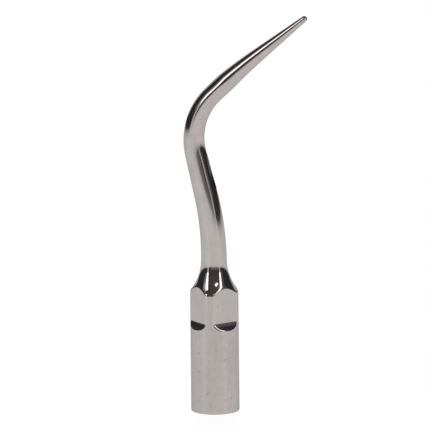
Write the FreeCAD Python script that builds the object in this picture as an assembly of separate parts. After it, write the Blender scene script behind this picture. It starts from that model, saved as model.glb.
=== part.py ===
"""Tip of a piezo ultrasonic scaler: one piece of stainless steel, in millimetres.

The round base screws onto the handpiece. Above it the shank leans back, then bends forward
over the base and tapers to a blunt point. Water rises through the thread, runs up a straight
channel and leaves by a long outlet in the hollow of the bend.

Frame: origin at the centre of the base's bottom face, +Z up the base's axis, +X the way the
point reaches. The shank's centre line lies in the XZ plane.
"""
import FreeCAD, Part
import math
import os

NODE = "scaler_tip"

# Base: the round foot with four wrench flats
BASE_DIAMETER = 4.0
BASE_HEIGHT = 10.08         # up to the corner where the flare starts
FOOT_CHAMFER = 0.04
SHOULDER_ROUND = 0.08       # rounds the corner between the base and the flare
FLATS = 4
ACROSS_FLATS = 3.27
FLATS_START = 7.72          # height where the flat wall begins
RUNOUT_RADIUS = 0.76        # hollow that the cutter leaves below each flat

# Flare: the hollow arc that narrows the base to the shank
FLARE_RADIUS = 4.0
NECK_DIAMETER = 2.14
NECK_TAPER = 1.1            # degrees from the axis where the arc meets the shank

# Shank: its centre line, stretch by stretch; a turn towards +X is positive
RISE = 0.247                # straight stretch above the flare
LEAN_RADIUS, LEAN_TURN = 23.55, -13.54
LEAN_LENGTH = 3.26          # straight stretch between the two bends
BEND_RADIUS, BEND_TURN = 5.37, 58.75
BOW_RADIUS, BOW_TURN = 50.5, 5.75
END_LENGTH = 5.35           # straight working end

# Shank: its thickness along the centre line
LEAN_DIAMETER = 1.96        # at the top of the lean
BEND_DIAMETER = 1.80        # where the forward bend starts
ARM_DIAMETER = 1.59         # where the forward bend ends
CONE_START = 1.9            # from the end of the bend to the working end's cone
CONE_DIAMETER = 1.575       # where the cone starts
POINT_RADIUS = 0.25         # ball that ends the cone

# Thread: M3 x 0.6, tapped from below; the solid has the hole at the thread's minor diameter
THREAD_MAJOR = 3.0
THREAD_PITCH = 0.6
TAP_DEPTH = 6.2             # straight depth of the drilled hole
MOUTH_DIAMETER = 3.2        # lead-in chamfer at the bottom face
DRILL_POINT = 118           # degrees

# Water channel: drilled from the thread's blind end, out into the hollow of the bend
CHANNEL_DIAMETER = 0.8
CHANNEL_TILT = 0.6          # degrees from the axis, towards -X

SECTION_SPACING = 0.55      # between the sections that carry the shank's skin
OVERRUN = 0.5               # how far a cutter stands clear of what it cuts

# Worked out from the sizes above
BASE_R = BASE_DIAMETER / 2
NECK_R = NECK_DIAMETER / 2
NECK_ANGLE = math.radians(NECK_TAPER)
FLARE_CENTRE_R = NECK_R + FLARE_RADIUS * math.cos(NECK_ANGLE)
SHOULDER_ANGLE = math.acos((FLARE_CENTRE_R - BASE_R) / FLARE_RADIUS)
FLARE_CENTRE_Z = BASE_HEIGHT + FLARE_RADIUS * math.sin(SHOULDER_ANGLE)
NECK_Z = FLARE_CENTRE_Z - FLARE_RADIUS * math.sin(NECK_ANGLE)

# An ISO 60 degree internal thread is five eighths of its sharp triangle deep
THREAD_DEPTH = 5 / 8 * math.cos(math.radians(30)) * THREAD_PITCH
THREAD_MINOR = THREAD_MAJOR - 2 * THREAD_DEPTH
BLIND_END = TAP_DEPTH + THREAD_MINOR / 2 / math.tan(math.radians(DRILL_POINT / 2))


def arc_length(radius, degrees):
    return radius * math.radians(abs(degrees))


# Each stretch of the centre line: its length and its turn in degrees
STRETCHES = [
    (RISE, 0),
    (arc_length(LEAN_RADIUS, LEAN_TURN), LEAN_TURN),
    (LEAN_LENGTH, 0),
    (arc_length(BEND_RADIUS, BEND_TURN), BEND_TURN),
    (arc_length(BOW_RADIUS, BOW_TURN), BOW_TURN),
    (END_LENGTH, 0),
]
LEAN_TOP = STRETCHES[0][0] + STRETCHES[1][0]
BEND_START = LEAN_TOP + LEAN_LENGTH
BEND_END = BEND_START + STRETCHES[3][0]
SHANK_LENGTH = sum(length for length, turn in STRETCHES)


def point(x, z):
    return FreeCAD.Vector(x, 0, z)


def centre_line(distance):
    """The point and the heading, from +Z towards +X, at a distance along the shank."""
    x, z, heading = 0.0, NECK_Z, 0.0
    for length, degrees in STRETCHES:
        run = min(distance, length)
        turn = math.radians(degrees) * run / length
        # the chord of an arc points halfway through its turn
        chord = run if turn == 0 else run * math.sin(turn / 2) / (turn / 2)
        x += chord * math.sin(heading + turn / 2)
        z += chord * math.cos(heading + turn / 2)
        heading += turn
        distance -= run
        if distance <= 0:
            break
    return point(x, z), heading


def cone_end():
    """Distance along the shank, and radius, where the cone meets the ball at the point."""
    start = BEND_END + CONE_START
    ball = SHANK_LENGTH - POINT_RADIUS
    half_angle = math.asin((CONE_DIAMETER / 2 - POINT_RADIUS) / (ball - start))
    for step in range(4):
        drop = CONE_DIAMETER / 2 - POINT_RADIUS * math.cos(half_angle)
        run = ball + POINT_RADIUS * math.sin(half_angle) - start
        half_angle = math.atan(drop / run)
    return ball + POINT_RADIUS * math.sin(half_angle), POINT_RADIUS * math.cos(half_angle)


def taper():
    """Distance along the shank, radius and slope at each place where the taper changes."""
    end, end_radius = cone_end()
    start = BEND_END + CONE_START
    cone_slope = (end_radius - CONE_DIAMETER / 2) / (end - start)
    places = [
        (0, NECK_R),
        (LEAN_TOP, LEAN_DIAMETER / 2),
        (BEND_START, BEND_DIAMETER / 2),
        (BEND_END, ARM_DIAMETER / 2),
        (start, CONE_DIAMETER / 2),
        (end, end_radius),
    ]
    stations = [(0, NECK_R, -math.tan(NECK_ANGLE))]
    for before, here, after in zip(places, places[1:], places[2:-1]):
        stations.append((*here, (after[1] - before[1]) / (after[0] - before[0])))
    return stations + [(*places[-2], cone_slope), (*places[-1], cone_slope)]


TAPER = taper()


def shank_radius(distance):
    """A cubic between two stations, with the slope of each at its ends."""
    for near, far in zip(TAPER, TAPER[1:]):
        if distance <= far[0]:
            break
    span = far[0] - near[0]
    t = (distance - near[0]) / span
    steady = near[1] * (1 + 2 * t) * (1 - t) ** 2 + far[1] * t * t * (3 - 2 * t)
    sloped = near[2] * t * (1 - t) ** 2 - far[2] * t * t * (1 - t)
    return steady + sloped * span


def across_shank(distance):
    """Placement of a plane square to the shank, its own X away from the hollow of the bend."""
    place, heading = centre_line(distance)
    turn = FreeCAD.Rotation(FreeCAD.Vector(0, 1, 0), math.degrees(heading))
    half_turn = FreeCAD.Rotation(FreeCAD.Vector(0, 0, 1), 180)
    return FreeCAD.Placement(place, turn * half_turn)


def shank():
    """The tapered skin through round sections, closed by the ball at the point."""
    end = TAPER[-1][0]
    count = math.ceil(end / SECTION_SPACING)
    sections = []
    for i in range(count + 1):
        distance = end * i / count
        circle = Part.Circle(FreeCAD.Vector(), FreeCAD.Vector(0, 0, 1), shank_radius(distance))
        ring = Part.Wire(circle.toShape())
        ring.Placement = across_shank(distance)
        sections.append(ring)
    body = Part.makeLoft(sections, True)
    ball = Part.makeSphere(POINT_RADIUS)
    ball.Placement = across_shank(SHANK_LENGTH - POINT_RADIUS)
    return body.fuse(ball)


def turned_base():
    """The base and its flare, revolved about the axis."""
    round_r = BASE_R - SHOULDER_ROUND
    reach = FLARE_RADIUS + SHOULDER_ROUND
    round_z = FLARE_CENTRE_Z - math.sqrt(reach ** 2 - (FLARE_CENTRE_R - round_r) ** 2)
    round_angle = math.acos((FLARE_CENTRE_R - round_r) / reach)

    def on_round(angle):
        return point(round_r + SHOULDER_ROUND * math.cos(angle), round_z + SHOULDER_ROUND * math.sin(angle))

    def on_flare(angle):
        return point(FLARE_CENTRE_R - FLARE_RADIUS * math.cos(angle),
                     FLARE_CENTRE_Z - FLARE_RADIUS * math.sin(angle))

    outline = [
        Part.LineSegment(point(0, 0), point(BASE_R - FOOT_CHAMFER, 0)),
        Part.LineSegment(point(BASE_R - FOOT_CHAMFER, 0), point(BASE_R, FOOT_CHAMFER)),
        Part.LineSegment(point(BASE_R, FOOT_CHAMFER), on_round(0)),
        Part.Arc(on_round(0), on_round(round_angle / 2), on_round(round_angle)),
        Part.Arc(on_flare(round_angle), on_flare((round_angle + NECK_ANGLE) / 2), on_flare(NECK_ANGLE)),
        Part.LineSegment(on_flare(NECK_ANGLE), point(0, NECK_Z)),
        Part.LineSegment(point(0, NECK_Z), point(0, 0)),
    ]
    face = Part.Face(Part.Wire([edge.toShape() for edge in outline]))
    return face.revolve(FreeCAD.Vector(), FreeCAD.Vector(0, 0, 1), 360)


def flat_cutter(number):
    """What the cutter takes off for one flat, with the hollow that it leaves below."""
    wall = ACROSS_FLATS / 2
    side = BASE_R + OVERRUN
    hollow = point(wall + RUNOUT_RADIUS, FLATS_START)
    corner = math.sqrt(0.5) * RUNOUT_RADIUS
    low = hollow + point(0, -RUNOUT_RADIUS)
    outer = max(side, hollow.x + OVERRUN)
    outline = [
        Part.Arc(point(wall, FLATS_START), hollow - point(corner, corner), low),
        Part.LineSegment(low, point(outer, low.z)),
        Part.LineSegment(point(outer, low.z), point(outer, NECK_Z)),
        Part.LineSegment(point(outer, NECK_Z), point(wall, NECK_Z)),
        Part.LineSegment(point(wall, NECK_Z), point(wall, FLATS_START)),
    ]
    face = Part.Face(Part.Wire([edge.toShape() for edge in outline]))
    face.translate(FreeCAD.Vector(0, -side, 0))
    cutter = face.extrude(FreeCAD.Vector(0, 2 * side, 0))
    cutter.rotate(FreeCAD.Vector(), FreeCAD.Vector(0, 0, 1), (number + 0.5) * 360 / FLATS)
    return cutter


def tapping_hole():
    """The drilled hole with its pointed end and its lead-in chamfer."""
    minor = THREAD_MINOR / 2
    mouth = MOUTH_DIAMETER / 2
    corners = [
        point(0, -OVERRUN),
        point(mouth + OVERRUN, -OVERRUN),
        point(minor, mouth - minor),
        point(minor, TAP_DEPTH),
        point(0, BLIND_END),
        point(0, -OVERRUN),
    ]
    face = Part.Face(Part.makePolygon(corners))
    return face.revolve(FreeCAD.Vector(), FreeCAD.Vector(0, 0, 1), 360)


def channel():
    """The straight water channel; above the outlet its drill runs free in the hollow of the bend."""
    place, heading = centre_line(BEND_START)
    hollow_z = place.z - BEND_RADIUS * math.sin(heading)
    tilt = math.radians(-CHANNEL_TILT)
    way = point(math.sin(tilt), math.cos(tilt))
    length = (hollow_z - TAP_DEPTH) / math.cos(tilt)
    return Part.makeCylinder(CHANNEL_DIAMETER / 2, length, point(0, TAP_DEPTH), way)


def scaler_tip():
    blank = turned_base().fuse(shank()).removeSplitter()
    flats = [flat_cutter(number) for number in range(FLATS)]
    return blank.cut(flats + [tapping_hole(), channel()])


def main():
    os.makedirs("parts", exist_ok=True)
    tip = scaler_tip()
    tip.exportStep(f"parts/{NODE}.step")
    print(NODE, "solids", len(tip.Solids), "faces", len(tip.Faces), "valid", tip.isValid())
    box = tip.optimalBoundingBox()
    print("box", [round(v, 3) for v in (box.XMin, box.YMin, box.ZMin, box.XMax, box.YMax, box.ZMax)])
    print("volume", round(tip.Volume, 3))


main()
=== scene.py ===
"""The ultrasonic scaler tip: one piece of steel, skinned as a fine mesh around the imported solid.

The mesh is one closed sleeve. It starts at a window in the shank's skin, goes round the rim of the
water outlet, down the channel and the thread, across the foot, and up the base, flare and shank
to the ball at the point. Lengths are in millimetres until the mesh is made, in metres.
"""
import math
from types import SimpleNamespace

import bpy
import numpy as np
from mathutils import Matrix, Vector


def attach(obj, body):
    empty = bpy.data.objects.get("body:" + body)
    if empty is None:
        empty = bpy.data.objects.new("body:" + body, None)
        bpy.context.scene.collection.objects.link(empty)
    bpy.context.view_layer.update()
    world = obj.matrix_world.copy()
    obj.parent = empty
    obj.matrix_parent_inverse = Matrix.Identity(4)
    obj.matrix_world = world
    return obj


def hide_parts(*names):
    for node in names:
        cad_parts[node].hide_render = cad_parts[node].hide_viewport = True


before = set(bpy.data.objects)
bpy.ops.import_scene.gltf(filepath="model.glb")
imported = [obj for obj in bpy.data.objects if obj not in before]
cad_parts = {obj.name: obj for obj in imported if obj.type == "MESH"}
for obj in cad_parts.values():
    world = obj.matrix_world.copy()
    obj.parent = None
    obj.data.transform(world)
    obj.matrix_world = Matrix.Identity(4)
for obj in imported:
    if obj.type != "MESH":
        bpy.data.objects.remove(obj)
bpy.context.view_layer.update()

MM = 0.001
NODE = "scaler_tip"

# Base
BASE_R = 2.0
BASE_HEIGHT = 10.08
FLAT_WALL = 3.27 / 2        # distance of a wrench flat from the axis
FLATS_START = 7.72
RUNOUT_R = 0.76
EDGE_SOFTNESS = 0.09        # how far the polish rounds an edge
FOOT_SOFTNESS = 0.05

# Flare
FLARE_R = 4.0
NECK_R = 1.07
NECK_ANGLE = math.radians(1.1)
FLARE_CENTRE_R = NECK_R + FLARE_R * math.cos(NECK_ANGLE)
SHOULDER_ANGLE = math.acos((FLARE_CENTRE_R - BASE_R) / FLARE_R)
FLARE_CENTRE_Z = BASE_HEIGHT + FLARE_R * math.sin(SHOULDER_ANGLE)
NECK_Z = FLARE_CENTRE_Z - FLARE_R * math.sin(NECK_ANGLE)

# Shank: its centre line, stretch by stretch; a turn towards +X is positive
RISE = 0.247                # straight stretch above the flare
LEAN_R, LEAN_TURN = 23.55, math.radians(-13.54)
LEAN_LENGTH = 3.26          # straight stretch between the two bends
BEND_R, BEND_TURN = 5.37, math.radians(58.75)
BOW_R, BOW_TURN = 50.5, math.radians(5.75)
END_LENGTH = 5.35           # straight working end
STRETCHES = [               # length and turn of each
    (RISE, 0.0),
    (LEAN_R * abs(LEAN_TURN), LEAN_TURN),
    (LEAN_LENGTH, 0.0),
    (BEND_R * BEND_TURN, BEND_TURN),
    (BOW_R * BOW_TURN, BOW_TURN),
    (END_LENGTH, 0.0),
]
LEAN_TOP = STRETCHES[0][0] + STRETCHES[1][0]
BEND_START = LEAN_TOP + STRETCHES[2][0]
BEND_END = BEND_START + STRETCHES[3][0]
SHANK_LENGTH = sum(length for length, turn in STRETCHES)
CONE_START = BEND_END + 1.9

# Shank: its radius along the centre line
LEAN_TOP_R = 0.98
BEND_START_R = 0.90
BEND_END_R = 0.795
CONE_R = 1.575 / 2
POINT_R = 0.25              # ball that ends the cone

# Thread, tapped from below
PITCH = 0.6
MAJOR_R = 1.5
FLANK_ANGLE = math.radians(30)
THREAD_DEPTH = 5 / 8 * math.cos(FLANK_ANGLE) * PITCH
MINOR_R = MAJOR_R - THREAD_DEPTH
ROOT_EDGE = PITCH / 16      # heights of the root's and the crest's edges from the middle of the root
CREST_EDGE = ROOT_EDGE + THREAD_DEPTH * math.tan(FLANK_ANGLE)
MOUTH_R = 1.6
TAP_DEPTH = 6.2
THREAD_END, THREAD_FADE = 5.6, 0.5   # the groove grows shallow over its last stretch
DRILL_POINT = math.radians(118)
DRILL_SLOPE = 1 / math.tan(DRILL_POINT / 2)

# Water channel
CHANNEL_R = 0.4
CHANNEL_TILT = math.radians(-0.6)

# Fineness of the mesh
EIGHTH_COLUMNS = 36         # columns of the base in an eighth of a turn
LAND_COLUMNS = 7            # of them on the land, before those crowded at its edge
BASE_COLUMNS = 8 * EIGHTH_COLUMNS
COLUMNS = BASE_COLUMNS // 2
WINDOW_COLUMNS, WINDOW_ROWS = 40, 32
WINDOW_MARGIN = 0.42        # from the outlet's ends to the window's
RING_SPACING = 0.16
RUNOUT_MARGIN = 0.12        # how far above a run-out its fine rows end
BORE_ROWS = 17              # in each pitch of the thread
BORE_ENDS = 0.03            # from the ends of the tapped wall to its first and last rows
RIM_SETBACK = 0.045         # how far the outlet's rim is rounded
WEAR_AND_HIGHLIGHT_REACH = 0.09           # how fast the rubbed look, partly wear and partly a painted highlight, fades away from an edge
# Steeper folds stay crisp: the thread's, the drill cone's upper edge, and parts of the outlet's rim
SHARP_ANGLE = math.radians(50)

# Zones of the skin, which are also the places of their materials
TURNED, MILLED, POLISHED, TAPPED, DRILLED = range(5)

# ---------------------------------------------------------------- shank

def centre_line(distance):
    """Points of the shank's centre line and its headings, from +Z towards +X."""
    distance = np.asarray(distance, float)
    x, z, heading = np.zeros_like(distance), np.full_like(distance, NECK_Z), np.zeros_like(distance)
    passed = 0.0
    for i, (length, full_turn) in enumerate(STRETCHES):
        last = i == len(STRETCHES) - 1
        run = np.clip(distance - passed, 0, None if last else length)
        turn = full_turn * run / length
        chord = run * np.sinc(turn / 2 / math.pi)
        x += chord * np.sin(heading + turn / 2)
        z += chord * np.cos(heading + turn / 2)
        heading += turn
        passed += length
    return np.stack([x, np.zeros_like(x), z], -1), heading


def cone_end():
    """Distance along the shank, and radius, where the cone meets the ball at the point."""
    ball = SHANK_LENGTH - POINT_R
    half_angle = math.asin((CONE_R - POINT_R) / (ball - CONE_START))
    for step in range(4):
        run = ball + POINT_R * math.sin(half_angle) - CONE_START
        half_angle = math.atan((CONE_R - POINT_R * math.cos(half_angle)) / run)
    return ball + POINT_R * math.sin(half_angle), POINT_R * math.cos(half_angle), half_angle


CONE_END, CONE_END_R, CONE_HALF_ANGLE = cone_end()


def taper():
    """Distance, radius and slope at each place where the shank's taper changes."""
    places = [
        (0, NECK_R), (LEAN_TOP, LEAN_TOP_R), (BEND_START, BEND_START_R), (BEND_END, BEND_END_R),
        (CONE_START, CONE_R),
    ]
    stations = [(0, NECK_R, -math.tan(NECK_ANGLE))]
    for before, here, after in zip(places, places[1:], places[2:]):
        stations.append((*here, (after[1] - before[1]) / (after[0] - before[0])))
    cone_slope = -math.tan(CONE_HALF_ANGLE)
    return stations + [(CONE_START, CONE_R, cone_slope), (CONE_END, CONE_END_R, cone_slope)]


TAPER = taper()


def shank_radius(distance):
    distance = np.asarray(distance, float)
    radius = np.full_like(distance, NECK_R)
    for near, far in zip(TAPER, TAPER[1:]):
        span = far[0] - near[0]
        t = (distance - near[0]) / span
        steady = near[1] * (1 + 2 * t) * (1 - t) ** 2 + far[1] * t * t * (3 - 2 * t)
        sloped = near[2] * t * (1 - t) ** 2 - far[2] * t * t * (1 - t)
        radius = np.where(distance >= near[0], steady + sloped * span, radius)
    return radius


def on_shank(distance, angle, radius=None):
    """Points of the shank's skin; the angle is 0 on the side towards the hollow of the bend."""
    place, heading = centre_line(distance)
    radius = shank_radius(distance) if radius is None else radius
    across = radius * np.cos(angle)
    offset = [across * np.cos(heading), radius * np.sin(angle), -across * np.sin(heading)]
    return place + np.stack(offset, -1)


# ---------------------------------------------------------------- channel and outlet

def channel_line(angle, height):
    """Points of the channel's wall, at a height above the bottom face."""
    angle, height = np.broadcast_arrays(angle, height)
    x = (height - TAP_DEPTH) * math.tan(CHANNEL_TILT) + CHANNEL_R * np.cos(angle)
    return np.stack([x, CHANNEL_R * np.sin(angle), height], -1)


def depth_in_shank(points):
    """How deep the points lie below the shank's skin, and the place along the shank beside them."""
    distance = points[..., 2] - NECK_Z
    for step in range(12):
        place, heading = centre_line(distance)
        along = (points[..., 0] - place[..., 0]) * np.sin(heading)
        along += (points[..., 2] - place[..., 2]) * np.cos(heading)
        distance = distance + 0.8 * along
    return shank_radius(distance) - np.linalg.norm(points - place, axis=-1), distance


def outlet_rim(count):
    """Angle round the channel, and height, at evenly spaced places on the outlet's rim."""
    bend, heading = centre_line(BEND_START)
    top = bend[2] - BEND_R * math.sin(heading)
    angles = np.linspace(0, math.pi, 721)
    heights = np.linspace(NECK_Z + 3, top, 900)
    depth, place = depth_in_shank(channel_line(angles[:, None], heights[None, :]))
    out = np.argmax(depth < 0, axis=1)
    row = np.arange(len(angles))
    before, after = depth[row, out - 1], depth[row, out]
    share = before / (before - after)
    height = heights[out - 1] + share * (heights[out] - heights[out - 1])
    rim = channel_line(angles, height)
    length = np.r_[0, np.cumsum(np.linalg.norm(np.diff(rim, axis=0), axis=1))]
    even = np.linspace(0, length[-1], count // 2 + 1)
    half_angle, half_height = np.interp(even, length, angles), np.interp(even, length, height)
    angle = np.r_[half_angle, 2 * math.pi - half_angle[-2:0:-1]]
    return angle, np.r_[half_height, half_height[-2:0:-1]]


# ---------------------------------------------------------------- base

def base_angles():
    """Angles of the base's columns, crowded at the edges of the flats, with 0 in the middle of a land."""
    land = math.pi / 4 - math.acos(FLAT_WALL / BASE_R)
    near, far = math.radians(0.5), math.radians(1.1)
    eighth = np.r_[
        np.linspace(0, land - far, LAND_COLUMNS),
        land - near, land, land + near,
        np.linspace(land + far, math.pi / 4, EIGHTH_COLUMNS - LAND_COLUMNS - 2),
    ]
    quarter = np.r_[eighth, math.pi / 2 - eighth[-2:0:-1]]
    return np.concatenate([quarter + side * math.pi / 2 for side in range(4)])


def off_flat(angle):
    """The angle from the middle of the nearest flat."""
    return np.abs((angle % (math.pi / 2)) - math.pi / 4)


def soft_min(a, b, softness):
    """The smaller of two depths, eased where they are nearly the same."""
    blend = np.clip(softness - np.abs(a - b), 0, None) / softness
    return np.minimum(a, b) - blend ** 2 * softness / 4


def base_depths(points):
    """Depths below each surface that bounds the base: foot, side, flare, flats and mouth."""
    x, y, z = points[..., 0], points[..., 1], points[..., 2]
    r = np.hypot(x, y)
    side = BASE_R - r
    flare = np.hypot(r - FLARE_CENTRE_R, z - FLARE_CENTRE_Z) - FLARE_R
    out = r * np.cos(off_flat(np.arctan2(y, x)))
    centre = FLAT_WALL + RUNOUT_R
    round_part = np.hypot(out - centre, z - FLATS_START) - RUNOUT_R
    below = np.where(out < centre, round_part, FLATS_START - RUNOUT_R - z)
    flat = np.where(z > FLATS_START, FLAT_WALL - out, below)
    mouth = (r - MOUTH_R + z) * math.sqrt(0.5)
    return z, side, flare, flat, mouth


def base_depth(points):
    foot, side, flare, flat, mouth = base_depths(points)
    turned = soft_min(soft_min(foot, side, FOOT_SOFTNESS), flare, EDGE_SOFTNESS)
    milled = soft_min(turned, flat, EDGE_SOFTNESS)
    return soft_min(milled, mouth, FOOT_SOFTNESS)


def settle(points):
    """Moves points near the base's sharp outline onto its softened skin."""
    step = 1e-4
    for turn in range(6):
        depth = base_depth(points)
        slope = np.stack([base_depth(points + step * axis) - depth for axis in np.eye(3)], -1) / step
        points = points - slope * (depth / (slope ** 2).sum(-1))[..., None]
    return points


def edge_nearness(points):
    """1 on an edge of the base, falling to 0 a few tenths of a millimetre away."""
    depths = np.sort(np.abs(np.stack(base_depths(points), -1)), axis=-1)
    return np.exp(-depths[..., 1] / WEAR_AND_HIGHLIGHT_REACH)


def around(angle, radius, height):
    angle, radius, height = np.broadcast_arrays(angle, radius, height)
    return np.stack([radius * np.cos(angle), radius * np.sin(angle), height], -1)


def even_angles(count):
    """Angles spread evenly over a turn, from 0."""
    return np.arange(count) * 2 * math.pi / count

def crowd(count, power, at_end=False):
    """Shares from just above 0 to 1, crowded at the start or at the end."""
    share = np.arange(1, count + 1) / count
    return 1 - (1 - share) ** power if at_end else share ** power


def base_rings():
    """Rings up the outside of the base, from its foot to the neck, each with the zone of the band below."""
    angles, even = base_angles(), even_angles(BASE_COLUMNS)
    off = np.minimum(off_flat(angles), math.acos(FLAT_WALL / BASE_R))
    reach = RUNOUT_R - BASE_R * np.cos(off) + FLAT_WALL
    crescent = FLATS_START - np.sqrt(np.clip(RUNOUT_R ** 2 - reach ** 2, 0, None))
    above = FLATS_START + RUNOUT_MARGIN
    peak_slope = (FLARE_CENTRE_R - FLAT_WALL / np.cos(off)) / FLARE_R
    peak = FLARE_CENTRE_Z - FLARE_R * np.sqrt(1 - peak_slope ** 2)
    bands = [
        (0.0, crescent / 2, crowd(9, 2.2), TURNED),
        (crescent / 2, crescent, crowd(14, 2.4, at_end=True), TURNED),
        (crescent, above, crowd(16, 2.0), MILLED),
        (above, peak, crowd(16, 2.3, at_end=True), MILLED),
        (peak, NECK_Z, crowd(36, 1.8), POLISHED),
    ]
    rings = []
    for low, high, shares, zone in bands:
        for share in shares:
            height = low + (high - low) * share
            ease = share * share * (3 - 2 * share) if zone == POLISHED else 0.0
            angle = angles + (even - angles) * ease
            drop = np.clip(FLATS_START - height, 0, RUNOUT_R)
            hollow = FLAT_WALL + RUNOUT_R - np.sqrt(RUNOUT_R ** 2 - drop ** 2)
            wall = np.where(height > FLATS_START - RUNOUT_R, hollow, BASE_R)
            swing = np.clip((FLARE_CENTRE_Z - height) / FLARE_R, -1, 1)
            flare = FLARE_CENTRE_R - FLARE_R * np.sqrt(1 - swing ** 2)
            flare = np.where(height > BASE_HEIGHT, flare, BASE_R)
            radius = np.minimum(np.minimum(flare, BASE_R), wall / np.cos(off_flat(angle)))
            rings.append((settle(around(angle, radius, height)), zone))
    return rings

# ---------------------------------------------------------------- foot, thread and bore

def foot_rings():
    """Rings across the bottom face, from the mouth of the thread out to the edge of the foot."""
    width = BASE_R - MOUTH_R
    near, far = (0.0, 0.02, 0.06, 0.12, 0.2, 0.35), (0.6, 0.8, 0.9, 0.95, 0.98, 1.0)
    inner = [settle(around(even_angles(COLUMNS), MOUTH_R + width * share, 0.0)) for share in near]
    outer = [settle(around(base_angles(), MOUTH_R + width * share, 0.0)) for share in far]
    return inner, outer

def thread_radius(angle, height):
    """The tapped wall: flat crests at the minor radius, sloped flanks and narrow flat roots."""
    phase = height / PITCH - angle / (2 * math.pi)
    from_root = np.abs((phase + 0.5) % 1.0 - 0.5) * PITCH
    groove = MAJOR_R - np.clip(from_root - ROOT_EDGE, 0, None) / math.tan(FLANK_ANGLE)
    groove = np.maximum(groove, MINOR_R) - MINOR_R
    fade = np.clip((THREAD_END - height) / THREAD_FADE, 0, 1)
    return np.maximum(MINOR_R + groove * fade, MOUTH_R - height)


def bore_heights(angle, rows):
    """Heights of the tapped wall's points, row by row; the nearest row steps onto each edge of the thread."""
    top, low = TAP_DEPTH - BORE_ENDS, BORE_ENDS
    heights = np.repeat(np.linspace(top, low, rows)[:, None], len(angle), axis=1)
    spacing = (top - low) / (rows - 1)
    columns = np.arange(len(angle))
    for edge in (-CREST_EDGE, -ROOT_EDGE, ROOT_EDGE, CREST_EDGE):
        for turn in range(math.ceil(TAP_DEPTH / PITCH) + 1):
            height = (turn + angle / (2 * math.pi)) * PITCH + edge
            row = np.rint((top - height) / spacing).astype(int)
            inside = (row > 0) & (row < rows - 1)
            heights[row[inside], columns[inside]] = height[inside]
    return heights


def bore_rings():
    """Rings from the channel's lower end, down the drill's cone and the tapped wall, to the mouth."""
    even = even_angles(COLUMNS)
    rings = []
    for share in np.linspace(0, 1, 6)[1:]:
        radius = CHANNEL_R + (MINOR_R - CHANNEL_R) * share
        rings.append(around(even, radius, TAP_DEPTH + (MINOR_R - radius) * DRILL_SLOPE))
    for height in bore_heights(even, int(TAP_DEPTH / PITCH * BORE_ROWS)):
        rings.append(around(even, thread_radius(even, height), height))
    return rings

# ---------------------------------------------------------------- mesh

class Sleeve:
    """Collects rings of points, and the faces between them, with a zone for each face."""

    def __init__(self):
        self.points, self.wear_and_highlight, self.faces, self.zones = [], [], [], []

    # each point also carries how much lighter it is painted: partly rubbed wear, partly a painted highlight
    def ring(self, points, wear_and_highlight=0.0):
        start = len(self.points)
        self.points.extend(points)
        self.wear_and_highlight.extend(np.broadcast_to(wear_and_highlight, len(points)))
        return list(range(start, start + len(points)))

    def face(self, corners, zone):
        self.faces.append(corners)
        self.zones.append(zone)

    def bridge(self, here, there, zone, keep=None):
        """Joins two rings of as many points; zone may be one value or one for each column."""
        count = len(here)
        for i in range(count):
            if keep is None or keep[i]:
                j = (i + 1) % count
                self.face((here[i], here[j], there[j], there[i]), zone[i] if np.ndim(zone) else zone)

    def add(self, here, points, zone, wear_and_highlight=0.0):
        """Adds a ring and joins it to the one before; returns it."""
        there = self.ring(points, wear_and_highlight)
        self.bridge(here, there, zone)
        return there

    def wind(self, here, there, zone):
        """Joins two rings by triangles whose long sides climb the way that the thread does."""
        for i in range(len(here)):
            j = (i + 1) % len(here)
            self.face((here[i], here[j], there[i]), zone)
            self.face((here[j], there[j], there[i]), zone)

    def halve(self, fine, coarse, zone):
        """Joins a ring to one of half as many points, whichever of them comes first."""
        turned = len(fine) < len(coarse)
        if turned:
            fine, coarse = coarse, fine
        for i in range(len(coarse)):
            a, b, c = fine[2 * i], fine[2 * i + 1], fine[(2 * i + 2) % len(fine)]
            d, e = coarse[i], coarse[(i + 1) % len(coarse)]
            for corners in ((a, b, d), (b, e, d), (b, c, e)):
                self.face(corners[::-1] if turned else corners, zone)

    def cap(self, ring, point, zone):
        tip = self.ring([point])[0]
        for i in range(len(ring)):
            self.face((ring[i], ring[(i + 1) % len(ring)], tip), zone)

    def to_object(self, name, materials):
        used = sorted({corner for face in self.faces for corner in face})
        place = {old: new for new, old in enumerate(used)}
        points = np.array([self.points[i] for i in used]) * MM
        mesh = bpy.data.meshes.new(name)
        mesh.from_pydata(points.tolist(), [], [[place[c] for c in face] for face in self.faces])
        mesh.polygons.foreach_set("material_index", self.zones)
        mesh.polygons.foreach_set("use_smooth", [True] * len(self.faces))
        # the attribute lightens edges and the outlet's rim: partly wear, partly a painted highlight
        wear_and_highlight = mesh.attributes.new("wear_and_highlight", "FLOAT", "POINT")
        wear_and_highlight.data.foreach_set("value", [float(self.wear_and_highlight[i]) for i in used])
        for material in materials:
            mesh.materials.append(material)
        mesh.update()
        mesh.set_sharp_from_angle(angle=SHARP_ANGLE)
        piece = bpy.data.objects.new(name, mesh)
        bpy.context.scene.collection.objects.link(piece)
        return piece


def window(rings, first, last):
    """The points round the window in the shank's skin, from its lowest middle point anticlockwise."""
    half = WINDOW_COLUMNS // 2
    bottom, top = rings[first], rings[last]
    right = [ring[half] for ring in rings[first:last]]
    left = [ring[-half] for ring in rings[last:first:-1]]
    over = [top[i] for i in range(half, -half, -1)]
    return bottom[0:half] + right + over + left + [bottom[i] for i in range(-half, 0)]


def shank_places(rim_low, rim_high):
    """Distances of the shank's rings, with the window's rows among them."""
    low, high = rim_low - WINDOW_MARGIN, rim_high + WINDOW_MARGIN
    below = np.linspace(0, low, round(low / RING_SPACING) + 1)[1:]
    middle = np.linspace(low, high, WINDOW_ROWS + 1)[1:]
    above = np.linspace(high, CONE_END, round((CONE_END - high) / RING_SPACING) + 1)[1:]
    first = len(below) - 1
    return np.r_[below, middle, above], first, first + WINDOW_ROWS


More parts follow.
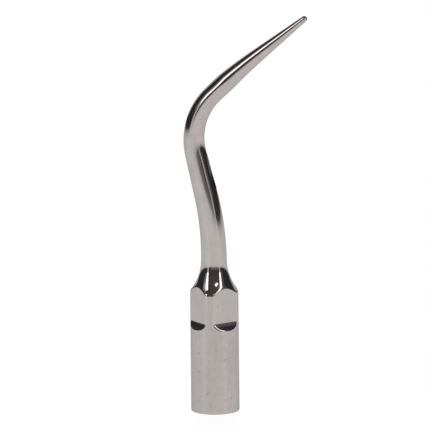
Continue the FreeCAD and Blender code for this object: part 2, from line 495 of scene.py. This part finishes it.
def find_outlet():
    """The outlet's rim: its angles and heights on the channel, its points, and its places on the shank."""
    angle, height = outlet_rim(COLUMNS)
    points = channel_line(angle, height)
    place = depth_in_shank(points)[1]
    middle, heading = centre_line(place)
    off = points - middle
    turn = np.arctan2(points[:, 1], off[:, 0] * np.cos(heading) - off[:, 2] * np.sin(heading))
    return SimpleNamespace(angle=angle, height=height, points=points, place=place, turn=turn)

def add_shank(sleeve, rim_place):
    """Adds the shank's skin around a window for the outlet; returns its rings and the window's border."""
    places, first, last = shank_places(rim_place.min(), rim_place.max())
    even = even_angles(COLUMNS)
    rings = [sleeve.ring(on_shank(np.full(COLUMNS, place), even)) for place in places]
    half = WINDOW_COLUMNS // 2
    outside = [half <= column < COLUMNS - half for column in range(COLUMNS)]
    for number, (here, there) in enumerate(zip(rings, rings[1:])):
        sleeve.bridge(here, there, POLISHED, outside if first <= number < last else None)
    border = SimpleNamespace(points=window(rings, first, last))
    turns, distances = [], []
    for point in border.points:
        row = next(number for number, ring in enumerate(rings) if ring[0] <= point <= ring[-1])
        column = rings[row].index(point)
        turns.append((column if column <= half else column - COLUMNS) * (2 * math.pi / COLUMNS))
        distances.append(places[row])
    border.turn, border.place = np.array(turns), np.array(distances)
    return rings, border

def add_outlet(sleeve, border, outlet):
    """Adds the skin from the window's border to the outlet, and its soft rim; returns the rim's inner ring."""
    here = border.points
    for share in 1 - crowd(10, 1.7, at_end=True)[:-1]:
        turn = outlet.turn + (border.turn - outlet.turn) * share
        place = outlet.place + (border.place - outlet.place) * share
        # the skin is painted lighter towards the outlet's rim, partly as wear and partly as a painted
        # highlight
        here = sleeve.add(here, on_shank(place, turn), POLISHED, math.exp(-share * 8))
    outward = on_shank(place, turn) - outlet.points
    outer = outlet.points + outward * (RIM_SETBACK / np.linalg.norm(outward, axis=1))[:, None]
    inner = channel_line(outlet.angle, outlet.height - RIM_SETBACK)
    for share in np.linspace(0, 1, 6):
        bow = outer * (1 - share) ** 2 + outlet.points * 2 * share * (1 - share) + inner * share ** 2
        # the rim itself is painted fully lighter: partly wear, partly a painted highlight
        here = sleeve.add(here, bow, POLISHED, 1.0)
    return here

def add_channel(sleeve, here, outlet):
    """Adds the channel's wall, whose columns even out on the way down; returns its lowest ring."""
    low = TAP_DEPTH + (MINOR_R - CHANNEL_R) * DRILL_SLOPE
    back = np.where(np.arange(COLUMNS) > COLUMNS // 2, 2 * math.pi, 0)
    start, end = outlet.angle - back, even_angles(COLUMNS) - back
    for share in crowd(18, 1.5):
        angle = start + (end - start) * min(1.0, share * 1.4)
        height = (outlet.height - RIM_SETBACK) * (1 - share) + low * share
        here = sleeve.add(here, channel_line(angle, height), DRILLED)
    return here

def add_bore_and_foot(sleeve, here):
    """Adds the drill's cone, the thread and the bottom face; returns the foot's outer ring."""
    for points in bore_rings():
        there = sleeve.ring(points)
        sleeve.wind(here, there, TAPPED)
        here = there
    inner, outer = foot_rings()
    # the foot's edges are painted lighter by their nearness: partly wear, partly a painted highlight
    for points in inner:
        here = sleeve.add(here, points, TURNED, edge_nearness(points))
    there = sleeve.ring(outer[0], edge_nearness(outer[0]))
    sleeve.halve(here, there, TURNED)
    here = there
    for points in outer[1:]:
        here = sleeve.add(here, points, TURNED, edge_nearness(points))
    return here

def add_base(sleeve, here):
    """Adds the base and the flare; returns the ring at the neck."""
    angles = base_angles()
    middle = angles + (np.roll(angles, -1) - angles) % (2 * math.pi) / 2
    on_flat = off_flat(middle) < math.acos(FLAT_WALL / BASE_R)
    for points, zone in base_rings():
        columns = np.where(on_flat, MILLED, TURNED) if zone == MILLED else zone
        # the base's edges are painted lighter by their nearness: partly wear, partly a painted highlight
        here = sleeve.add(here, points, columns, edge_nearness(points))
    return here

def add_point(sleeve, here):
    """Adds the ball that ends the cone."""
    centre = SHANK_LENGTH - POINT_R
    for tilt in np.linspace(CONE_HALF_ANGLE, math.pi / 2, 13)[1:-1]:
        along = np.full(COLUMNS, centre + POINT_R * math.sin(tilt))
        points = on_shank(along, even_angles(COLUMNS), POINT_R * math.cos(tilt))
        here = sleeve.add(here, points, POLISHED)
    sleeve.cap(here, centre_line(SHANK_LENGTH)[0], POLISHED)

def build_skin():
    """The whole skin, from the outlet through the channel, thread and base, and up to the point."""
    sleeve = Sleeve()
    outlet = find_outlet()
    shank, border = add_shank(sleeve, outlet.place)
    here = add_outlet(sleeve, border, outlet)
    here = add_channel(sleeve, here, outlet)
    here = add_bore_and_foot(sleeve, here)
    here = add_base(sleeve, here)
    sleeve.halve(here, shank[0], POLISHED)
    add_point(sleeve, shank[-1])
    return sleeve

# ---------------------------------------------------------------- materials

class Nodes:
    """A short way to write a material's nodes."""

    def __init__(self, name):
        self.material = bpy.data.materials.new(name)
        self.material.use_nodes = True
        self.tree = self.material.node_tree
        self.shader = self.tree.nodes["Principled BSDF"]

    def make_metal(self):
        self.shader.inputs["Metallic"].default_value = 1.0
        self.shader.inputs["Specular Tint"].default_value = RIM_TINT

    def add(self, kind, inputs=(), **settings):
        node = self.tree.nodes.new(kind)
        for key, value in settings.items():
            setattr(node, key, value)
        for key, value in dict(inputs).items():
            self.put(node.inputs[key], value)
        return node

    def put(self, socket, value):
        if isinstance(value, bpy.types.NodeSocket):
            self.tree.links.new(value, socket)
        else:
            socket.default_value = value

    def place(self, scale):
        """The object's own coordinates, scaled along each axis, in features per metre."""
        at = self.add("ShaderNodeTexCoord").outputs["Object"]
        return self.add("ShaderNodeMapping", {"Vector": at, "Scale": scale}).outputs["Vector"]

    def noise(self, scale, detail=3.0, roughness=0.55):
        inputs = {"Vector": self.place(scale), "Scale": 1.0, "Detail": detail, "Roughness": roughness}
        return self.add("ShaderNodeTexNoise", inputs).outputs["Fac"]

    def ramp(self, value, low, high, to_low=0.0, to_high=1.0):
        inputs = {"Value": value, "From Min": low, "From Max": high, "To Min": to_low, "To Max": to_high}
        return self.add("ShaderNodeMapRange", inputs, clamp=True).outputs["Result"]

    def math(self, operation, a, b):
        node = self.add("ShaderNodeMath", operation=operation)
        self.put(node.inputs[0], a)
        self.put(node.inputs[1], b)
        return node.outputs["Value"]

    def mix(self, share, a, b):
        node = self.add("ShaderNodeMix", data_type="RGBA")
        self.put(node.inputs["Factor"], share)
        self.put(node.inputs["A"], a)
        self.put(node.inputs["B"], b)
        return node.outputs["Result"]

    def bump(self, height, strength, distance, under=None):
        inputs = {"Height": height, "Strength": strength, "Distance": distance}
        if under is not None:
            inputs["Normal"] = under
        return self.add("ShaderNodeBump", inputs).outputs["Normal"]

    # the lighter edge colour: partly rubbed wear, partly a painted highlight
    def wear_and_highlight(self):
        return self.add("ShaderNodeAttribute", attribute_name="wear_and_highlight").outputs["Fac"]


STEEL = (0.43, 0.40, 0.386, 1)
# paler steel: random tone, and the colour of edges that are partly rubbed and partly painted with a highlight
STEEL_LIGHT = (0.475, 0.443, 0.428, 1)
STEEL_DARK = (0.37, 0.345, 0.335, 1)
STAIN = (0.20, 0.185, 0.175, 1)
# near-black channel colour: a painted shade inside the narrow hole
CHANNEL_PAINTED_SHADE = (0.085, 0.08, 0.078, 1)
RIM_TINT = (0.65, 0.65, 0.66, 1)   # steel brightens less towards its rim than the shader would have it


def specks(nodes, scale, share):
    """1 in small scattered spots, 0 elsewhere."""
    spots = nodes.noise((scale, scale, scale), 1, 0.4)
    return nodes.ramp(spots, 1 - share, 1 - share + 0.05)


def polished_steel():
    """Buffed steel of the flare and shank: near mirror, with haze, polishing marks and fine specks."""
    nodes = Nodes("polished_steel")
    haze = nodes.noise((900, 900, 700), 4)
    marks = nodes.noise((1500, 1500, 6000), 2)
    spots = specks(nodes, 2300, 0.27)
    colour = nodes.mix(nodes.ramp(haze, 0.35, 0.65), STEEL, STEEL_LIGHT)
    colour = nodes.mix(nodes.math("MULTIPLY", spots, 0.35), colour, STAIN)
    # edges and the outlet's rim are painted lighter: partly wear, partly a painted highlight
    nodes.put(nodes.shader.inputs["Base Color"], nodes.mix(nodes.wear_and_highlight(), colour, STEEL_LIGHT))
    rough = nodes.ramp(haze, 0.3, 0.7, 0.075, 0.125)
    nodes.put(nodes.shader.inputs["Roughness"], nodes.math("ADD", rough, nodes.math("MULTIPLY", spots, 0.12)))
    nodes.put(nodes.shader.inputs["Normal"], nodes.bump(marks, 0.03, 0.00001))
    nodes.make_metal()
    return nodes.material


def turned_steel():
    """Lathe-turned base: satin, with fine lines round the axis, stains, and edges that are rubbed bright and
    painted with a highlight.
    """
    nodes = Nodes("turned_steel")
    lines = nodes.noise((60, 60, 22000), 3)
    fine = nodes.noise((300, 300, 60000), 2)
    cloud = nodes.noise((520, 520, 330), 4)
    spots = specks(nodes, 2100, 0.27)
    colour = nodes.mix(nodes.ramp(cloud, 0.32, 0.68), STEEL, STEEL_LIGHT)
    mottle = nodes.noise((3200, 3200, 2100), 3)
    colour = nodes.mix(nodes.ramp(lines, 0.3, 0.7, 0.0, 0.2), colour, STEEL_DARK)
    colour = nodes.mix(nodes.ramp(mottle, 0.42, 0.66, 0.0, 0.36), colour, STEEL_DARK)
    colour = nodes.mix(nodes.math("MULTIPLY", spots, 0.42), colour, STAIN)
    # edges are painted lighter: partly wear, partly a painted highlight
    nodes.put(nodes.shader.inputs["Base Color"], nodes.mix(nodes.wear_and_highlight(), colour, STEEL_LIGHT))
    rough = nodes.ramp(lines, 0.3, 0.7, 0.15, 0.20)
    nodes.put(nodes.shader.inputs["Roughness"], nodes.math("ADD", rough, nodes.math("MULTIPLY", spots, 0.1)))
    under = nodes.bump(lines, 0.12, 0.00001)
    nodes.put(nodes.shader.inputs["Normal"], nodes.bump(fine, 0.1, 0.000005, under))
    nodes.make_metal()
    nodes.shader.inputs["Anisotropic"].default_value = 0.45
    nodes.shader.inputs["Anisotropic Rotation"].default_value = 0.25
    tangent = nodes.add("ShaderNodeTangent", direction_type="RADIAL", axis="Z")
    nodes.put(nodes.shader.inputs["Tangent"], tangent.outputs["Tangent"])
    return nodes.material


def milled_steel():
    """Wrench flats: ground smooth, with faint straight marks across the axis, stains and scuffs, and edges
    painted lighter, partly as wear and partly as a painted highlight.
    """
    nodes = Nodes("milled_steel")
    marks = nodes.noise((400, 400, 26000), 3)
    cloud = nodes.noise((700, 700, 500), 4)
    spots = specks(nodes, 2100, 0.29)
    colour = nodes.mix(nodes.ramp(cloud, 0.32, 0.68), STEEL, STEEL_LIGHT)
    colour = nodes.mix(nodes.math("MULTIPLY", spots, 0.5), colour, STAIN)
    # edges are painted lighter: partly wear, partly a painted highlight
    nodes.put(nodes.shader.inputs["Base Color"], nodes.mix(nodes.wear_and_highlight(), colour, STEEL_LIGHT))
    rough = nodes.ramp(marks, 0.3, 0.7, 0.14, 0.2)
    nodes.put(nodes.shader.inputs["Roughness"], nodes.math("ADD", rough, nodes.math("MULTIPLY", spots, 0.1)))
    nodes.put(nodes.shader.inputs["Normal"], nodes.bump(marks, 0.15, 0.000008))
    nodes.make_metal()
    return nodes.material


def tapped_steel():
    """The thread: as the tap left it, torn a little and unpolished."""
    nodes = Nodes("tapped_steel")
    marks = nodes.noise((9000, 9000, 16000), 3)
    nodes.put(nodes.shader.inputs["Base Color"], nodes.mix(nodes.ramp(marks, 0.3, 0.7), STEEL_DARK, STEEL))
    nodes.put(nodes.shader.inputs["Roughness"], nodes.ramp(marks, 0.3, 0.7, 0.26, 0.40))
    nodes.put(nodes.shader.inputs["Normal"], nodes.bump(marks, 0.3, 0.000015))
    nodes.make_metal()
    return nodes.material


def drilled_steel():
    """The water channel: painted near black as shade inside the narrow hole, and rough, with rings left by the
    drill.
    """
    nodes = Nodes("drilled_steel")
    rings = nodes.noise((2000, 2000, 24000), 3)
    # the channel's colour is painted shade, streaked with the drill's rings
    painted_shade = nodes.mix(nodes.ramp(rings, 0.3, 0.7), CHANNEL_PAINTED_SHADE, STAIN)
    nodes.put(nodes.shader.inputs["Base Color"], painted_shade)
    nodes.put(nodes.shader.inputs["Roughness"], nodes.ramp(rings, 0.3, 0.7, 0.4, 0.55))
    nodes.put(nodes.shader.inputs["Normal"], nodes.bump(rings, 0.4, 0.000015))
    nodes.make_metal()
    return nodes.material


# ---------------------------------------------------------------- stage, lights and camera

VIEW_AZIMUTH = math.radians(11.6)
VIEW_ELEVATION = math.radians(12.82)
VIEW_ROLL = math.radians(0.583)
LENS, SENSOR = 1500.0, 36.0
FRAME_WIDTH = 35.431        # millimetres across the view at the object
FRAME_CENTRE = (-0.037, 16.016)  # of the view, right of and above the middle of the foot


def direction(azimuth, elevation):
    """From the object; azimuth is measured like the camera's, 0 towards -Y, positive towards +X."""
    flat = math.cos(elevation)
    return Vector((math.sin(azimuth) * flat, -math.cos(azimuth) * flat, math.sin(elevation)))


def make_camera():
    data = bpy.data.cameras.new("camera")
    data.lens, data.sensor_width = LENS, SENSOR
    camera = bpy.data.objects.new("camera", data)
    bpy.context.scene.collection.objects.link(camera)
    back = direction(VIEW_AZIMUTH, VIEW_ELEVATION)
    level = Vector((math.cos(VIEW_AZIMUTH), math.sin(VIEW_AZIMUTH), 0))
    upright = back.cross(level)
    right = level * math.cos(VIEW_ROLL) - upright * math.sin(VIEW_ROLL)
    up = level * math.sin(VIEW_ROLL) + upright * math.cos(VIEW_ROLL)
    away = FRAME_WIDTH * LENS / SENSOR
    place = (right * FRAME_CENTRE[0] + up * FRAME_CENTRE[1] + back * away) * MM
    camera.matrix_world = Matrix.Translation(place) @ Matrix((right, up, back)).transposed().to_4x4()
    data.clip_start, data.clip_end = 0.01, 20
    bpy.context.scene.camera = camera


FLOOR_SIZE = 1.2            # metres
FLOOR_FADE = (0.13, 0.42)   # metres from the object between which the floor fades away
FLOOR_GLOW = 0.86
ROOM = (0.044, 0.042, 0.049, 1)
ROOM_FRONT = (0.105, 0.096, 0.088, 1)


def make_floor():
    """A pale table top, whose edge fades away, so that nothing pale is reflected from further off."""
    half = FLOOR_SIZE / 2
    mesh = bpy.data.meshes.new("floor")
    corners = [(-half, -half, 0), (half, -half, 0), (half, half, 0), (-half, half, 0)]
    mesh.from_pydata(corners, [], [(0, 1, 2, 3)])
    floor = bpy.data.objects.new("floor", mesh)
    floor.location.z = -0.00002
    bpy.context.scene.collection.objects.link(floor)
    nodes = Nodes("pale_floor")
    nodes.shader.inputs["Base Color"].default_value = (0.4, 0.4, 0.4, 1)
    nodes.shader.inputs["Roughness"].default_value = 0.6
    nodes.shader.inputs["Emission Color"].default_value = (1, 1, 1, 1)
    nodes.shader.inputs["Emission Strength"].default_value = FLOOR_GLOW
    place = nodes.add("ShaderNodeTexCoord").outputs["Object"]
    away = nodes.add("ShaderNodeVectorMath", operation="LENGTH")
    nodes.put(away.inputs[0], place)
    fade = nodes.ramp(away.outputs["Value"], *FLOOR_FADE, 1.0, 0.0)
    nodes.put(nodes.shader.inputs["Alpha"], fade)
    mesh.materials.append(nodes.material)


def make_world():
    """White where the camera sees it, dim where the steel reflects it, as in a dark studio."""
    world = bpy.data.worlds.new("studio")
    world.use_nodes = True
    tree = world.node_tree
    way = tree.nodes.new("ShaderNodeTexCoord").outputs["Generated"]
    front = tree.nodes.new("ShaderNodeVectorMath")
    front.operation = "DOT_PRODUCT"
    tree.links.new(way, front.inputs[0])
    front.inputs[1].default_value = direction(VIEW_AZIMUTH, math.radians(35))
    glow = tree.nodes.new("ShaderNodeMapRange")
    glow.inputs["From Min"].default_value, glow.inputs["From Max"].default_value = 0.6, 1.0
    tree.links.new(front.outputs["Value"], glow.inputs["Value"])
    room = tree.nodes.new("ShaderNodeMix")
    seen = tree.nodes.new("ShaderNodeMix")
    room.data_type = seen.data_type = "RGBA"
    room.inputs["A"].default_value, room.inputs["B"].default_value = ROOM, ROOM_FRONT
    seen.inputs["B"].default_value = (1, 1, 1, 1)
    path = tree.nodes.new("ShaderNodeLightPath")
    tree.links.new(glow.outputs["Result"], room.inputs["Factor"])
    tree.links.new(room.outputs["Result"], seen.inputs["A"])
    tree.links.new(path.outputs["Is Camera Ray"], seen.inputs["Factor"])
    tree.links.new(seen.outputs["Result"], tree.nodes["Background"].inputs["Color"])
    bpy.context.scene.world = world


LIGHT_DISTANCE = 1.0        # metres
LIGHT_AIM = Vector((0, 0, 0.012))
COOL, WARM = (0.95, 0.96, 1), (1, 0.9, 0.78)

def make_panel(name, azimuth, low, high, width, brightness, tint=(1, 1, 1)):
    """A softbox facing the object. Angles are in degrees: its azimuth from the camera's, and its extent."""
    data = bpy.data.lights.new(name, "AREA")
    data.shape = "RECTANGLE"
    data.size = 2 * LIGHT_DISTANCE * math.tan(math.radians(width / 2))
    data.size_y = 2 * LIGHT_DISTANCE * math.tan(math.radians((high - low) / 2))
    data.energy = brightness * 4 * data.size * data.size_y
    data.color = tint
    light = bpy.data.objects.new(name, data)
    bpy.context.scene.collection.objects.link(light)
    way = direction(VIEW_AZIMUTH + math.radians(azimuth), math.radians((low + high) / 2))
    light.location = way * LIGHT_DISTANCE + LIGHT_AIM
    light.rotation_mode = "QUATERNION"
    light.rotation_quaternion = way.to_track_quat("Z", "Y")


def make_lights():
    make_panel("strip_left", -52, 9, 48, 11.5, 2.5)
    make_panel("strip_left_glow", -66, 9, 28, 18, 0.25, COOL)
    make_panel("strip_left_glow_high", -66, 28, 42, 14, 0.6, COOL)
    make_panel("strip_left_foot", -51, -5, 9, 14, 0.55)
    make_panel("strip_right", 48, 9, 56, 11, 2.4)
    make_panel("strip_right_glow", 60, 4, 36, 22, 0.08, COOL)
    make_panel("strip_right_foot", 48, -5, 9, 12, 0.45)
    make_panel("lamp", 21, 35, 38.5, 9, 4.5, WARM)
    make_panel("lamp_low", 12, 38, 41.5, 8, 4.5, WARM)
    make_panel("room_front", 10, -6, 3.5, 70, 0.12, (0.95, 0.95, 1))
    make_panel("backdrop", 180, 0, 35, 84, 0.7)


scene = bpy.context.scene
scene.view_settings.view_transform = "Standard"
make_camera()
make_floor()
make_world()
make_lights()

materials = [turned_steel(), milled_steel(), polished_steel(), tapped_steel(), drilled_steel()]
tip = build_skin().to_object("scaler_tip_skin", materials)
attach(tip, "root")
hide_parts(NODE)
